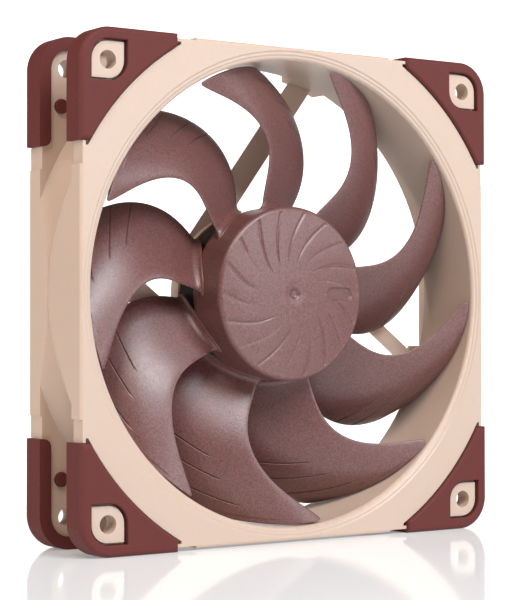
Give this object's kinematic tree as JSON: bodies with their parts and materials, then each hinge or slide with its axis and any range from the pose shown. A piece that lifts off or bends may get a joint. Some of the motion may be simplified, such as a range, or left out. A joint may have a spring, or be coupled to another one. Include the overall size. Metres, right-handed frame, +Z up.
{
  "type": "case fan",
  "caption": "Square axial cooling fan with swept blades on a domed hub, slanted struts and soft corner pads.",
  "frame": {"origin": "the middle of the fan: on the shaft's axis, half way through the frame's depth", "axes": "+Y along the shaft from the intake side to the exhaust side, +X to the right seen from the intake side, +Z up"},
  "size_m": [0.12, 0.0268, 0.12],
  "materials": {
    "frame_plastic": "fine moulded satin",
    "pad_silicone": "matte silicone",
    "impeller_plastic": "satin with a fine grain",
    "yoke_steel": "dark coated steel",
    "bonded_magnet": "matte",
    "brass": "turned",
    "polished_steel": "ground and polished",
    "nylon": "matte",
    "sintered_bronze": "porous sintered",
    "core_steel": "stacked laminations",
    "insulator_plastic": "moulded",
    "enamelled_copper": "enamelled wire",
    "tinned_metal": "tinned",
    "board_laminate": "solder mask",
    "chip_resin": "moulded resin",
    "capacitor_ceramic": "fired ceramic",
    "label_film": "blank printed film"
  },
  "bodies": {
    "housing": {"frame": "frame_plastic", "front_pad_top_right": "pad_silicone", "front_pad_top_left": "pad_silicone", "front_pad_bottom_right": "pad_silicone", "front_pad_bottom_left": "pad_silicone", "rear_pad_top_right": "pad_silicone", "rear_pad_top_left": "pad_silicone", "rear_pad_bottom_right": "pad_silicone", "rear_pad_bottom_left": "pad_silicone", "bearing_shell": "brass", "sleeve_bearing": "sintered_bronze", "oil_seal_ring": "nylon", "bearing_magnet": "bonded_magnet", "thrust_pad": "nylon", "bearing_cap": "brass", "stator_core": "core_steel", "stator_insulator_front": "insulator_plastic", "stator_insulator_rear": "insulator_plastic", "coil_1": "enamelled_copper", "coil_2": "enamelled_copper", "coil_3": "enamelled_copper", "coil_4": "enamelled_copper", "coil_pins": "tinned_metal", "circuit_board": "board_laminate", "driver_chip": "chip_resin", "hall_sensor": "chip_resin", "chip_capacitors": "capacitor_ceramic", "chip_resistors": "chip_resin", "rear_label": "label_film"},
    "rotor": {"impeller": "impeller_plastic", "rotor_yoke": "yoke_steel", "ring_magnet": "bonded_magnet", "shaft_bushing": "brass", "shaft": "polished_steel", "retaining_ring": "nylon"}
  },
  "joints": [
    {"name": "impeller_spin", "type": "hinge", "parent": "housing", "child": "rotor", "pos_m": [0, 0, 0], "axis": [0, 1, 0], "continuous": true}
  ]
}
